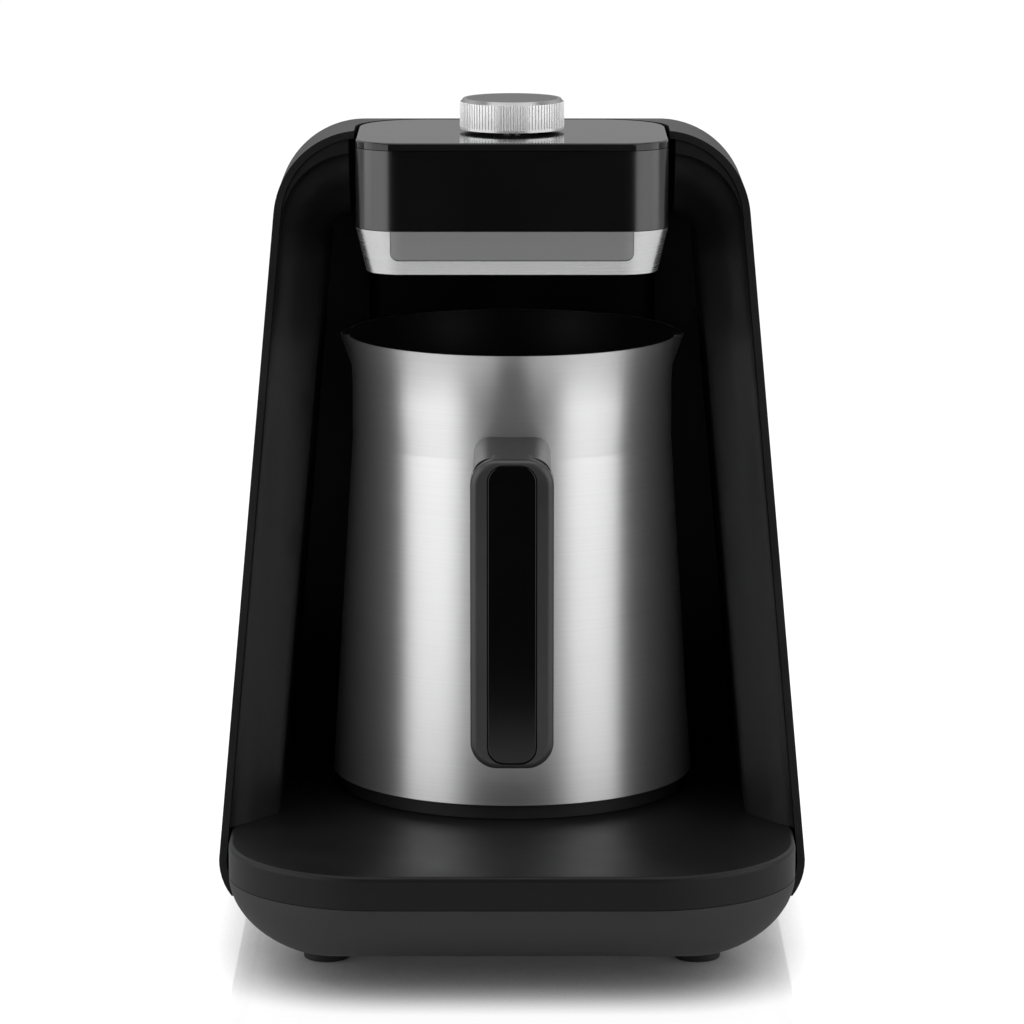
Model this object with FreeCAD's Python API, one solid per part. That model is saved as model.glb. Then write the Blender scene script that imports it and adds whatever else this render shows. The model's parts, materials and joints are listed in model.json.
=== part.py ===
import FreeCAD, Part
import math
import os

V = FreeCAD.Vector

# Overall sizes, mm. X to the viewer's right, -Y to the front, +Z up, Z 0 on the table
# The depth adds up: platform in front of the jug's axis, bay behind it, and room behind the bay
platform_reach = 133.0
bay_reach = 70.0
rear_room = 35.0
body_depth = platform_reach + bay_reach + rear_room
body_top_z = 261.3
knob_stand = 10.7
knob_top_z = body_top_z + knob_stand
base_underside_z = 9.0

# A length past every part of the machine, for cutting blocks
beyond = 1.2 * body_top_z
front_y = -body_depth / 2
rear_y = body_depth / 2
jug_y = front_y + platform_reach

# Housing shell: tapered sides, a lean at the back and a crown that falls away behind the head
shell_wall = 2.4
waist_z = 31.4
waist_half = 94.1
side_taper = 4.84
rear_lean = 4.65
crown_start_y = jug_y + 19.0
crown_fall = 16.9
crown_start_radius = 60.0
crown_rear_radius = 36.0
shoulder_radius = 28.5
shell_foot_plane_z = 13.4
shell_foot_radius = 18.0
shell_bottom_z = 20.0
shell_weld_z = body_top_z - 42.3

# Panel that closes the rear wall
rear_panel_half = 52.0
rear_panel_low_z = shell_bottom_z + 52.0
rear_panel_high_z = body_top_z - 49.3
rear_panel_corner = 8.0

# Front opening of the shell, a plane that leans forward going down
opening_top_y = jug_y - 25.0
opening_lean = 11.4

# Fascia arch: a funnel from the shell's lip to the bay, with a rolled inner edge
assembly_gap = 0.15
fascia_setback = 0.6
fascia_depth = 27.0
funnel_depth = 23.0
funnel_run = 14.6
funnel_rise = 21.0
roll_steps = [(0.0, 1.0), (0.28, 0.70), (0.56, 0.40), (0.8, 0.16), (0.93, 0.04), (1.0, 0.0)]

# Bay that the jug stands in
bay_inset = 17.3
bay_top_z = body_top_z - 28.3
bay_corner_radius = 10.0
bay_back_y = jug_y + bay_reach
liner_wall = 2.0
bridge_half = 60.0
bridge_front = 6.0
bridge_back = 24.0
bridge_height = 6.0

# Base: a platform with an upper band, over a lower casing with a boat-like underside
platform_z = 41.2
parting_z = 30.5
base_step = 4.0
base_half = waist_half - base_step
base_front_radius = 48.0
base_rear_radius = 26.0
base_rear_y = rear_y - 5.4
base_wall = 2.4
hull_run = 33.0
hull_corner_share = 1.6
hull_corner_least = 6.0
hull_steps = 6
platform_edge_radius = 1.6
wire_way_half = 38.0
wire_way_depth = 18.0

# Feet
foot_radius = 7.5
foot_x = base_half - 30.7
foot_front_y = front_y + 59.0
foot_rear_y = rear_y - 37.0

# Head: housing, top plate, chrome trim and underside cover
head_half = 49.7
head_front_y = jug_y - 63.4
head_back_y = jug_y + 10.5
head_front_radius = 15.0
head_back_radius = 22.0
head_wall = 2.2
plate_thickness = 2.6
plate_groove = 1.2
plate_edge_radius = 0.8
head_side_gap = 3.0
trim_top_z = body_top_z - 28.1
trim_height = 14.0
trim_bottom_z = trim_top_z - trim_height
trim_draw_in = 3.3
trim_wall = 2.0
trim_back_y = jug_y - 15.0
seam = 0.2
panel_half = 38.6
panel_height = 9.6
panel_thickness = 0.9
panel_recess = 0.35
panel_corner = 2.6
under_wall = 1.8
under_floor = 2.0
under_lift = 0.5
under_top_z = trim_top_z - 0.6

# Column at the back of the bay
column_half = 48.8
column_reach = 6.0
column_radius = 5.0
column_wall = 2.0

# Knob and rotary encoder
knob_radius = 16.8
knob_gap = 1.0
knob_press = 0.8
knob_y = (head_front_y + head_back_y) / 2
knob_skirt_wall = 1.6
knob_bevel = 1.0
knob_bevel_draw = 0.8
knob_bezel_floor = 0.3
knob_disc_radius = 14.7
knob_knurls = 96
knurl_depth = 0.24
shaft_radius = 3.0
shaft_fit = 0.05
hub_radius = 6.0
encoder_half = 6.5
encoder_bush_radius = 4.0
encoder_chamber_radius = 5.6
encoder_floor = 0.3
dome_thickness = 0.2
rotor_height = 1.8
rotor_lift = 1.6
chamber_height = 4.2
encoder_height = 6.6
encoder_detents = 20
knurl_radius = 0.42
hub_web = 1.8
knob_dish = 0.25
knob_dish_sphere = 320.0

# Boards
board_thickness = 1.6
control_board_z = body_top_z - 13.3
control_half = 42.0
control_front_y = head_front_y + 6.0
control_back_y = head_back_y - 6.0
control_screw_x = 34.0
control_screw_inset = 7.0
power_board_z = base_underside_z + 6.0
power_screw_length = 6.4
power_half = 40.0
power_front_y = jug_y - 28.0
power_back_y = jug_y + 50.0
power_screw_inset = 5.0

# Screws
screw_radius = 1.45
screw_hole_fit = 0.05
screw_head_radius = 2.8
screw_head_height = 1.8
boss_radius = 3.6
tall_boss_radius = 4.6
base_screw_x = base_half - 32.1
base_screw_inset = 26.0
base_screw_seat_z = 24.0
base_screw_web = 3.0
vent_count = 7
vent_start_y = jug_y + 2.0
vent_pitch = 6.0
vent_width = 2.2
vent_half = 24.0
lead_radius = 1.3
lead_clamp_half = 9.9
lead_clamp_size = 8.0
lead_clamp_inset = 4.0
ribbon_x = 25.0
ribbon_half = 5.0
ribbon_gap = 5.0
ribbon_z = trim_top_z - 7.2
ribbon_rise_y = head_back_y - 10.0
socket_height = 6.0
socket_half_depth = 3.0
ribbon_thickness = 1.0
ribbon_bend = 4.5
ribbon_start_inset = 6.0

# Foam sensor
sensor_radius = 5.6
sensor_screw_x = 14.0
sensor_board_z = trim_bottom_z + 9.8
under_rib_inset = 24.0
under_rib_rows = (head_front_y + under_rib_inset, jug_y - 4.0)

# Jug
jug_wall = 0.8
jug_bottom_z = platform_z + 5.1
jug_foot_radius = 59.5
jug_neck_radius = 52.6
jug_head_room = 27.0
jug_rim_z = trim_bottom_z - jug_head_room
jug_waist_z = jug_rim_z - 34.2
jug_neck_z = jug_rim_z - 20.2
jug_rim_radius = 54.8
jug_flare_share = 0.27
jug_flare_rise = 12.0
jug_floor_z = jug_bottom_z + 16.7
jug_floor = 1.0
spout_low_z = jug_rim_z - 16.2
spout_low_radius = 8.0
spout_top_radius = 15.0
spout_tip = 57.4
spout_low_centre = 43.0
spout_lift = 1.9
spout_root = 47.0
spout_tip_drop = 0.7
jug_ring_radius = 57.3
jug_stand_gap = 0.2
jug_cover_floor = 2.4
jug_cover_wall = 2.2
jug_cover_lip_z = jug_bottom_z + 5.7

# Heater under the jug's floor
heater_radius = 51.0
heater_thickness = 3.2
element_ring_radius = 34.0
element_radius = 3.2
cutout_radius = 7.0
cutout_height = 6.0
jug_screw_ring = 46.0
element_gap_half = 9.0

# Plug-in connector between the jug and the column
inlet_half = 13.0
inlet_wall = 1.8
inlet_depth = 14.6
inlet_low_z = jug_bottom_z + 0.6
inlet_high_z = inlet_low_z + 11.0
tongue_gap = 0.35
tongue_tip_y = jug_y + 47.5
contact_pitch = 7.0
pin_radius = 1.2
sleeve_wall = 0.35
contact_fit = 0.1
flange_half = 17.0
flange_rise = 4.0
flange_thickness = 3.0

# Jug handle
handle_half = 13.1
handle_front_y = jug_y - 98.0
handle_top_z = jug_rim_z - 26.2
handle_low_z = jug_bottom_z + 20.9
handle_arm_height = 20.0
handle_grip_depth = 15.0
handle_corner = 8.5
handle_front_edge = 2.4
handle_back_edge = 4.5
arm_step = 0.8
arm_root = 5.0
arm_edge = 5.5
inset_half = 7.9
inset_corner = 5.5
inset_depth = 1.6
inset_gap = 0.15
inset_recess = 0.1
inset_end = 1.6
bracket_reach = 14.0
bracket_thickness = 1.5
bracket_half = 10.0
bracket_height = 15.0
bracket_screw_run = 5.0

# Cord gland in the rear wall
gland_x = 45.0
gland_z = 54.0
gland_radius = 6.6
gland_flange_radius = 9.0
gland_bore_radius = 3.7
gland_length = 14.0
gland_setback = 2.6

def box(x0, x1, y0, y1, z0, z1):
    return Part.makeBox(x1 - x0, y1 - y0, z1 - z0, V(x0, y0, z0))


def disc(radius, z0, z1, x=0.0, y=0.0):
    return Part.makeCylinder(radius, z1 - z0, V(x, y, z0))


def rod_y(radius, y0, y1, x, z):
    return Part.makeCylinder(radius, y1 - y0, V(x, y0, z), V(0, 1, 0))


def ring(outer, inner, z0, z1, x=0.0, y=0.0):
    return disc(outer, z0, z1, x, y).cut(disc(inner, z0 - 1, z1 + 1, x, y))


def group(shapes):
    return Part.makeCompound(shapes)


def rounded_wire(corners, radii):
    """Closed wire through 3-D corners in one plane, each corner an arc of its own radius."""
    count = len(corners)
    starts = []
    ends = []
    mids = []
    for i in range(count):
        here = corners[i]
        back = (corners[i - 1] - here).normalize()
        ahead = (corners[(i + 1) % count] - here).normalize()
        half = back.getAngle(ahead) / 2
        bisector = (back + ahead).normalize()
        reach = radii[i] / math.tan(half)
        starts.append(here + back * reach)
        ends.append(here + ahead * reach)
        mids.append(here + bisector * (radii[i] / math.sin(half) - radii[i]))
    edges = []
    for i in range(count):
        if radii[i] > 0:
            edges.append(Part.Arc(starts[i], mids[i], ends[i]).toShape())
        edges.append(Part.LineSegment(ends[i], starts[(i + 1) % count]).toShape())
    return Part.Wire(edges)


def plan_wire(half, y0, y1, front_radius, rear_radius, z):
    corners = [V(-half, y0, z), V(half, y0, z), V(half, y1, z), V(-half, y1, z)]
    return rounded_wire(corners, [front_radius, front_radius, rear_radius, rear_radius])


def plan_block(half, y0, y1, front_radius, rear_radius, z0, z1):
    wire = plan_wire(half, y0, y1, front_radius, rear_radius, z0)
    return Part.Face(wire).extrude(V(0, 0, z1 - z0))


def prism_x(points, half):
    """Block of a side outline, given as (y, z) points, drawn out to both sides of X 0."""
    wire = Part.makePolygon([V(-half, y, z) for y, z in points + points[:1]])
    return Part.Face(wire).extrude(V(2 * half, 0, 0))


def edges_that(shape, test):
    return [edge for edge in shape.Edges if test(edge)]


def round_edges(shape, radius, test):
    return shape.makeFillet(radius, edges_that(shape, test))


def opening_y(z):
    """Front opening plane: its Y at a height."""
    return opening_top_y - math.tan(math.radians(opening_lean)) * (body_top_z - z)


def half_width(z, inset):
    taper = math.radians(side_taper)
    return waist_half - math.tan(taper) * (z - waist_z) - inset / math.cos(taper)


def crossing(line_a, line_b):
    """Point where two side-view lines, each a point and a direction, cross."""
    (ay, az), (adx, adz) = line_a
    (by, bz), (bdx, bdz) = line_b
    turn = adx * bdz - adz * bdx
    along = ((by - ay) * bdz - (bz - az) * bdx) / turn
    return ay + adx * along, az + adz * along


def side_outline(inset, front_inset):
    """Side view of the housing, each face moved in by the inset: bottom, rear, crown, top, front."""
    rear = math.radians(90 + rear_lean)
    crown = math.radians(180 - crown_fall)
    front = math.radians(270 - opening_lean)
    lines = [
        ((0.0, shell_foot_plane_z), 0.0, inset),
        ((rear_y, waist_z), rear, inset),
        ((crown_start_y, body_top_z), crown, inset),
        ((0.0, body_top_z), math.pi, inset),
        ((opening_top_y, body_top_z), front, front_inset),
    ]
    moved = []
    for (y, z), angle, shift in lines:
        direction = (math.cos(angle), math.sin(angle))
        start = (y - direction[1] * shift, z + direction[0] * shift)
        moved.append((start, direction))
    return [crossing(moved[i - 1], moved[i]) for i in range(len(moved))]


def housing_block(inset, front_inset):
    """Rounded solid of the housing, with every face moved in by the inset."""
    outline = side_outline(inset, front_inset)
    wide = 2 * waist_half
    corners = [V(-wide, y, z) for y, z in outline]
    radii = [0, 0, crown_rear_radius - inset, crown_start_radius - inset, 0]
    profile = Part.Face(rounded_wire(corners, radii)).extrude(V(2 * wide, 0, 0))
    low_z = shell_foot_plane_z - 1
    high_z = body_top_z + 1
    low, high = half_width(low_z, inset), half_width(high_z, inset)
    ends = [V(-low, -wide, low_z), V(low, -wide, low_z)]
    ends += [V(high, -wide, high_z), V(-high, -wide, high_z)]
    taper = Part.Face(Part.makePolygon(ends + ends[:1])).extrude(V(0, 2 * wide, 0))
    block = profile.common(taper)
    lean = math.cos(math.radians(opening_lean))

    def at_shoulder(edge):
        centre = edge.CenterOfMass
        behind = (centre.y - opening_y(centre.z)) * lean - front_inset > 0.01
        above = centre.z > shell_foot_plane_z + inset + 0.01
        return behind and above and abs(abs(centre.x) - half_width(centre.z, inset)) < 0.5

    block = round_edges(block, shoulder_radius - inset, at_shoulder)
    return block.common(foot_block(inset))


def foot_block(inset):
    """Tall block that tucks the housing's foot in under its waist."""
    low_z = shell_foot_plane_z + inset
    rear_radius = shoulder_radius - inset
    high_z = 2 * body_top_z
    block = plan_block(waist_half - inset, 2 * front_y, rear_y - inset, 1.0, rear_radius, low_z, high_z)

    def at_foot(edge):
        centre = edge.CenterOfMass
        return centre.z < low_z + 0.01 and centre.y > 1.9 * front_y

    return round_edges(block, shell_foot_radius - inset, at_foot)


def bay_wire(widen, raise_top, radius, depth):
    """Outline of the bay in a plane parallel to the opening, this deep behind it."""
    low_z = platform_z - 20.0
    top_z = bay_top_z + raise_top
    lean = math.radians(opening_lean)
    corners = []
    for side, z in ((-1, low_z), (1, low_z), (1, top_z), (-1, top_z)):
        y = opening_y(z) + depth / math.cos(lean)
        corners.append(V(side * (half_width(z, bay_inset) + widen), y, z))
    return rounded_wire(corners, [0, 0, radius, radius])


def bay_prism(widen, depth, y_back):
    """Bay-shaped block from a depth behind the opening to a flat back."""
    radius = bay_corner_radius + widen
    face = Part.Face(bay_wire(widen, widen, radius, depth))
    block = face.extrude(V(0, 2 * body_depth, 0))
    return block.common(box(-beyond, beyond, -beyond, y_back, 0, beyond))


def funnel():
    """Flared mouth of the fascia, from the shell's lip in to the bay."""
    wires = []
    for depth_share, flare_share in roll_steps:
        widen = funnel_run * flare_share
        rise = funnel_rise * flare_share
        radius = bay_corner_radius + (shoulder_radius - bay_corner_radius - 5.0) * flare_share
        depth = fascia_setback + (funnel_depth - fascia_setback) * depth_share
        wires.append(bay_wire(widen, rise, radius, depth))
    return Part.makeLoft(wires, True, False)


def slab_behind_opening(near, far):
    """Everything between two planes parallel to the opening."""
    lean = math.radians(opening_lean)
    low, high = 0.0, beyond
    points = []
    for z, depth in ((low, near), (high, near), (high, far), (low, far)):
        points.append((opening_y(z) + depth / math.cos(lean), z))
    return prism_x(points, beyond)


def head_opening(gap, z0, z1):
    """Room for the head and its plate, open to the front."""
    radius = head_back_radius + gap
    return plan_block(head_half + gap, front_y - 20, head_back_y + gap, 1.0, radius, z0, z1)


def make_shell():
    shell = housing_block(0.0, 0.0).cut(housing_block(shell_wall, -8.0))
    shell = shell.cut(box(-beyond, beyond, -beyond, beyond, 0, shell_bottom_z))
    shell = shell.cut(head_opening(plate_groove, trim_top_z, body_top_z + 10))
    shell = shell.cut(rear_panel_cut(0.0))
    return shell.cut(rod_y(gland_radius + assembly_gap, rear_y - 20, rear_y + 5, gland_x, gland_z))


def make_shell_crown():
    """Top of the shell, welded to its two walls."""
    return make_shell().common(box(-beyond, beyond, -beyond, beyond, shell_weld_z, beyond))


def make_shell_walls():
    """Left and right walls of the shell, each with its half of the rear."""
    lower = make_shell().common(box(-beyond, beyond, -beyond, beyond, 0, shell_weld_z))
    left = lower.common(box(-beyond, 0, -beyond, beyond, 0, beyond))
    right = lower.common(box(0, beyond, -beyond, beyond, 0, beyond))
    return group(left.Solids + right.Solids)


def rear_panel_cut(gap):
    """Block through the rear wall, which the rear panel fills with a gap all round."""
    half = rear_panel_half - gap
    low_z = rear_panel_low_z + gap
    high_z = rear_panel_high_z - gap
    start_y = rear_y - rear_room / 2
    corners = [V(-half, start_y, low_z), V(half, start_y, low_z)]
    corners += [V(half, start_y, high_z), V(-half, start_y, high_z)]
    face = Part.Face(rounded_wire(corners, [rear_panel_corner - gap] * 4))
    return face.extrude(V(0, rear_room, 0))


def make_rear_panel():
    wall = housing_block(0.0, 0.0).cut(housing_block(shell_wall, -8.0))
    return wall.common(rear_panel_cut(assembly_gap))


def make_fascia():
    inset = shell_wall + assembly_gap
    arch = housing_block(inset, fascia_setback)
    arch = arch.common(slab_behind_opening(fascia_setback, fascia_depth))
    arch = arch.cut(box(-beyond, beyond, -beyond, beyond, 0, platform_z))
    bridge_low_z = bay_top_z + liner_wall + assembly_gap
    bridge = box(-bridge_half, bridge_half, jug_y - bridge_front, jug_y + bridge_back,
                 bridge_low_z, bay_top_z + bridge_height)
    arch = arch.fuse(bridge)
    arch = arch.cut(funnel()).cut(bay_prism(0.0, funnel_depth - 0.5, bay_back_y))
    return arch.cut(head_opening(head_side_gap, trim_top_z - 20, body_top_z + 10))


def make_liner():
    outside = bay_prism(liner_wall, fascia_depth, bay_back_y + liner_wall)
    inside = bay_prism(0.0, fascia_depth - 5, bay_back_y)
    liner = outside.cut(inside).cut(box(-beyond, beyond, -beyond, beyond, 0, platform_z))
    liner = liner.cut(head_opening(head_side_gap, trim_top_z - 20, body_top_z))
    low = inlet_low_z - flange_rise - 1
    half = flange_half + 1
    liner = liner.cut(box(-half, half, bay_back_y - 1, bay_back_y + 5, low, inlet_high_z + 5))
    return liner.cut(ribbon_slot())


def ribbon_slot():
    """Room for the flat cable through the bay's back wall and the end of the head's underside cover."""
    half = ribbon_half + 1
    y0 = bay_back_y - column_reach - 5
    return box(ribbon_x - half, ribbon_x + half, y0, bay_back_y + 5, ribbon_z - 2, ribbon_z + 2)


def base_hull(inset):
    """Lower casing block: straight sides that roll under to a flat bottom."""
    low_z = base_underside_z + inset
    rise = parting_z - base_underside_z
    wires = []
    for i in range(hull_steps + 1):
        angle = math.radians(90.0 * i / hull_steps)
        draw = inset + hull_run * (1 - math.cos(angle))
        z = low_z + (rise - inset) * (1 - math.sin(angle))
        front_radius = max(hull_corner_least, base_front_radius - hull_corner_share * draw)
        rear_radius = max(3.0, base_rear_radius - draw)
        y0, y1 = front_y + draw, base_rear_y - draw
        wires.append(plan_wire(base_half - draw, y0, y1, front_radius, rear_radius, z))
    return Part.makeLoft(wires, True, False)


def base_block(inset, z0, z1):
    rear_radius = base_rear_radius - inset
    return plan_block(
        base_half - inset, front_y + inset, base_rear_y - inset,
        base_front_radius - inset, rear_radius, z0, z1,
    )


def foot_places():
    return [(side * foot_x, y) for y in (foot_front_y, foot_rear_y) for side in (-1, 1)]


def base_screw_places():
    rows = (front_y + base_screw_inset, base_rear_y - base_screw_inset)
    return [(side * base_screw_x, y) for y in rows for side in (-1, 1)]


def power_screw_places():
    rows = (power_front_y + power_screw_inset, power_back_y - power_screw_inset)
    return [(side * (power_half - power_screw_inset), y) for y in rows for side in (-1, 1)]


def control_screw_places():
    rows = (control_front_y + control_screw_inset, control_back_y - control_screw_inset)
    return [(side * control_screw_x, y) for y in rows for side in (-1, 1)]


def screw(x, y, head_z, length, points_up):
    """Screw whose head's outer face is at head_z and whose thread runs away from it."""
    turn = 1 if points_up else -1
    head = Part.makeCylinder(screw_head_radius, screw_head_height, V(x, y, head_z), V(0, 0, turn))
    thread = Part.makeCylinder(screw_radius, length, V(x, y, head_z), V(0, 0, turn))
    slot = screw_radius * 1.2
    cross = box(x - slot, x + slot, y - 0.4, y + 0.4, head_z - 0.9, head_z + 0.9)
    cross = cross.fuse(box(x - 0.4, x + 0.4, y - slot, y + slot, head_z - 0.9, head_z + 0.9))
    return head.fuse(thread).cut(cross)


def screw_hole(x, y, z0, z1):
    return disc(screw_radius + screw_hole_fit, z0, z1, x, y)


def screw_pocket(x, y, z0, z1):
    return disc(screw_head_radius + screw_hole_fit, z0, z1, x, y)


def make_platform():
    """Upper base: the platform, its band and the bosses that the lower casing screws into."""
    top = base_block(0.0, parting_z + seam, platform_z)
    top = round_edges(top, platform_edge_radius, lambda e: e.CenterOfMass.z > platform_z - 0.01)
    top = top.cut(base_block(base_wall, parting_z - 1, platform_z - base_wall))
    for x, y in base_screw_places():
        top = top.fuse(disc(boss_radius, base_screw_seat_z, platform_z - 1, x, y))
        top = top.cut(screw_hole(x, y, base_screw_seat_z - 1, platform_z - base_wall))
    way_y = bay_back_y + liner_wall + 2
    way_back_y = way_y + wire_way_depth
    return top.cut(box(-wire_way_half, wire_way_half, way_y, way_back_y, parting_z, platform_z + 5))


def make_base_pan():
    pan = base_hull(0.0).cut(base_hull(base_wall))
    floor_z = base_underside_z + base_wall
    for x, y in base_screw_places():
        boss = disc(tall_boss_radius, floor_z - 1, base_screw_seat_z, x, y)
        pan = pan.fuse(boss.common(base_hull(0.0)))
        pan = pan.cut(screw_hole(x, y, 0, parting_z))
        pan = pan.cut(screw_pocket(x, y, 0, base_screw_seat_z - base_screw_web))
    for x, y in power_screw_places():
        pan = pan.fuse(disc(boss_radius, floor_z - 1, power_board_z, x, y))
        pan = pan.cut(screw_hole(x, y, floor_z, power_board_z + 1))
    slots = []
    for i in range(vent_count):
        y = vent_start_y + i * vent_pitch
        slots.append(box(-vent_half, vent_half, y, y + vent_width, 0, floor_z + 1))
    return pan.cut(slots)


def make_feet():
    blocks = []
    hull = base_hull(0.0)
    for x, y in foot_places():
        foot = disc(foot_radius, 0.0, base_underside_z + 6, x, y)
        foot = round_edges(foot, 0.8, lambda e: e.CenterOfMass.z < 0.01)
        blocks.append(foot.cut(hull))
    return group(blocks)


def head_block(inset, z0, z1):
    return plan_block(
        head_half - inset,
        head_front_y + inset,
        head_back_y - inset,
        head_front_radius - inset,
        head_back_radius - inset,
        z0,
        z1,
    )


def plate_bottom_z():
    return body_top_z - plate_thickness


def make_top_plate():
    plate = head_block(0.0, plate_bottom_z() + seam, body_top_z)
    plate = round_edges(plate, plate_edge_radius, lambda e: e.CenterOfMass.z > body_top_z - 0.01)
    board_top_z = control_board_z + board_thickness
    for x, y in control_screw_places():
        boss = disc(boss_radius, board_top_z, body_top_z - 1, x, y)
        plate = plate.fuse(boss).cut(screw_hole(x, y, board_top_z - 1, body_top_z - plate_thickness))
    return plate.cut(disc(encoder_bush_radius + 0.1, plate_bottom_z(), body_top_z + 1, 0, knob_y))


def make_head_housing():
    housing = head_block(0.0, trim_top_z + seam, plate_bottom_z())
    return housing.cut(head_block(head_wall, trim_top_z, body_top_z))


def trim_block(inset):
    """Solid of the chrome trim: drawn in towards the bottom at the front and sides."""
    wires = []
    for z, draw in ((trim_top_z, 0.0), (trim_bottom_z, trim_draw_in)):
        shift = draw + inset
        radius = head_front_radius - shift
        wires.append(plan_wire(head_half - shift, head_front_y + shift, head_back_y, radius, radius, z))
    return Part.makeLoft(wires, True, True)


def panel_zone(gap):
    low_z = trim_top_z - panel_height + gap
    half = panel_half - gap
    corners = [V(-half, 2 * front_y, low_z), V(half, 2 * front_y, low_z)]
    corners += [V(half, 2 * front_y, trim_top_z + 5), V(-half, 2 * front_y, trim_top_z + 5)]
    wire = rounded_wire(corners, [panel_corner, panel_corner, 0, 0])
    return Part.Face(wire).extrude(V(0, head_front_y - 2 * front_y + 15, 0))


def make_trim():
    trim = trim_block(0.0).cut(trim_block(trim_wall))
    trim = trim.common(box(-beyond, beyond, -beyond, trim_back_y, 0, beyond))
    pocket = trim_block(-1.0).cut(trim_block(panel_thickness + seam)).common(panel_zone(0.0))
    return trim.cut(pocket)


def make_trim_panel():
    panel = trim_block(panel_recess).cut(trim_block(panel_thickness + seam)).common(panel_zone(0.1))
    return panel.common(box(-beyond, beyond, -beyond, head_front_y + 8, 0, beyond))


def under_block(inset, z0, z1):
    half = head_half - trim_draw_in - trim_wall - assembly_gap - inset
    y0 = head_front_y + trim_draw_in + trim_wall + assembly_gap + inset
    radius = head_front_radius - trim_draw_in - trim_wall - inset
    return plan_block(half, y0, bay_back_y - column_reach - inset, radius, 0.5, z0, z1)


def make_under_cover():
    """Underside of the head: a tray that runs back along the bay's ceiling to the column."""
    low_z = trim_bottom_z + under_lift
    cover = under_block(0.0, low_z, under_top_z)
    cover = cover.cut(under_block(under_wall, low_z + under_floor, trim_top_z + 1))
    for x in (-sensor_screw_x, sensor_screw_x):
        cover = cover.fuse(disc(boss_radius, low_z, sensor_board_z, x, jug_y))
        cover = cover.cut(screw_hole(x, jug_y, low_z + under_floor, sensor_board_z + 1))
    for side in (-1, 1):
        for y in under_rib_rows:
            cover = cover.fuse(under_rib(side, y))
    cover = cover.cut(ribbon_slot())
    return cover.cut(disc(sensor_radius + seam, low_z - 1, low_z + under_floor + 1, 0, jug_y))


def under_rib(side, y):
    """Rib that stands up from the cover to carry the head housing's wall."""
    x_out = under_block(0.0, 0, 1).BoundBox.XMax
    x_in = x_out - under_wall - 3
    low, high = sorted((side * x_in, side * x_out))
    return box(low, high, y - 1.2, y + 1.2, trim_bottom_z + under_lift + 1, trim_top_z + seam + 6)


def make_column():
    """Cover of the column at the back of the bay, open behind."""
    y0 = bay_back_y - column_reach
    top_z = trim_bottom_z + under_lift
    column = plan_block(column_half, y0, bay_back_y + 20, column_radius, 0.5, platform_z, top_z)
    hollow = plan_block(
        column_half - column_wall, y0 + column_wall, bay_back_y + 30, column_radius - column_wall, 0.5,
        platform_z - 1, top_z - column_wall,
    )
    column = column.cut(hollow).common(box(-beyond, beyond, y0 - 1, bay_back_y, 0, beyond))
    gap = 0.3
    half = tongue_half() + gap
    window = box(-half, half, y0 - 1, y0 + 5, tongue_low_z() - gap, tongue_high_z() + gap)
    return column.cut(window)


def make_knob_skirt():
    """Ring of the knob with fine upright flutes."""
    low_z = body_top_z + knob_gap
    high_z = knob_top_z - knob_bevel
    skirt = ring(knob_radius, knob_radius - knob_skirt_wall, low_z, high_z, 0, knob_y)
    flutes = []
    for i in range(knob_knurls):
        angle = 2 * math.pi * i / knob_knurls
        reach = knob_radius + knurl_radius - knurl_depth
        x, y = reach * math.cos(angle), knob_y + reach * math.sin(angle)
        flutes.append(disc(knurl_radius, low_z + 0.8, high_z + 1, x, y))
    return skirt.cut(flutes)


def make_knob_bezel():
    """Bevelled ring round the knob's disc."""
    low_z = knob_top_z - knob_bevel
    foot = knob_radius - 0.3
    cone = Part.makeCone(foot, foot - knob_bevel_draw, knob_bevel, V(0, knob_y, low_z))
    cone = cone.cut(disc(knob_disc_radius, low_z + knob_bezel_floor, knob_top_z + 1, 0, knob_y))
    return cone.cut(disc(shaft_radius + 0.1, low_z - 1, knob_top_z, 0, knob_y))


def make_knob_disc():
    """Spun disc on top of the knob, very slightly dished."""
    low_z = knob_top_z - knob_bevel + knob_bezel_floor
    plate = disc(knob_disc_radius - 0.05, low_z, knob_top_z, 0, knob_y)
    dish = Part.makeSphere(knob_dish_sphere, V(0, knob_y, knob_top_z + knob_dish_sphere - knob_dish))
    return plate.cut(dish)


def make_knob_hub():
    """Hub inside the knob: a sleeve for the shaft, a web and a rim against the skirt."""
    low_z = body_top_z + knob_gap + 0.2
    web_z = knob_top_z - knob_bevel - hub_web
    inner = knob_radius - knob_skirt_wall
    hub = disc(hub_radius, low_z, web_z + hub_web, 0, knob_y)
    hub = hub.fuse(disc(inner - 0.05, web_z, web_z + hub_web, 0, knob_y))
    hub = hub.fuse(ring(inner - 0.05, inner - 1.4, low_z, web_z + 0.5, 0, knob_y))
    return hub.cut(disc(shaft_radius + 0.01, low_z - 1, knob_top_z, 0, knob_y))


def encoder_base_z():
    return control_board_z + board_thickness


def make_encoder_body():
    base_z = encoder_base_z()
    top_z = base_z + encoder_height
    body = box(-encoder_half, encoder_half, knob_y - encoder_half, knob_y + encoder_half, base_z, top_z)
    bush_top = body_top_z - 0.3
    body = body.fuse(disc(encoder_bush_radius, top_z - 0.5, bush_top, 0, knob_y))
    chamber_z = base_z + encoder_floor
    body = body.cut(disc(encoder_chamber_radius, chamber_z, chamber_z + chamber_height, 0, knob_y))
    return body.cut(disc(shaft_radius + shaft_fit, chamber_z, bush_top + 1, 0, knob_y))


def make_switch_dome():
    base_z = encoder_base_z() + encoder_floor
    return disc(shaft_radius - 0.5, base_z, base_z + dome_thickness, 0, knob_y)


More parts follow.
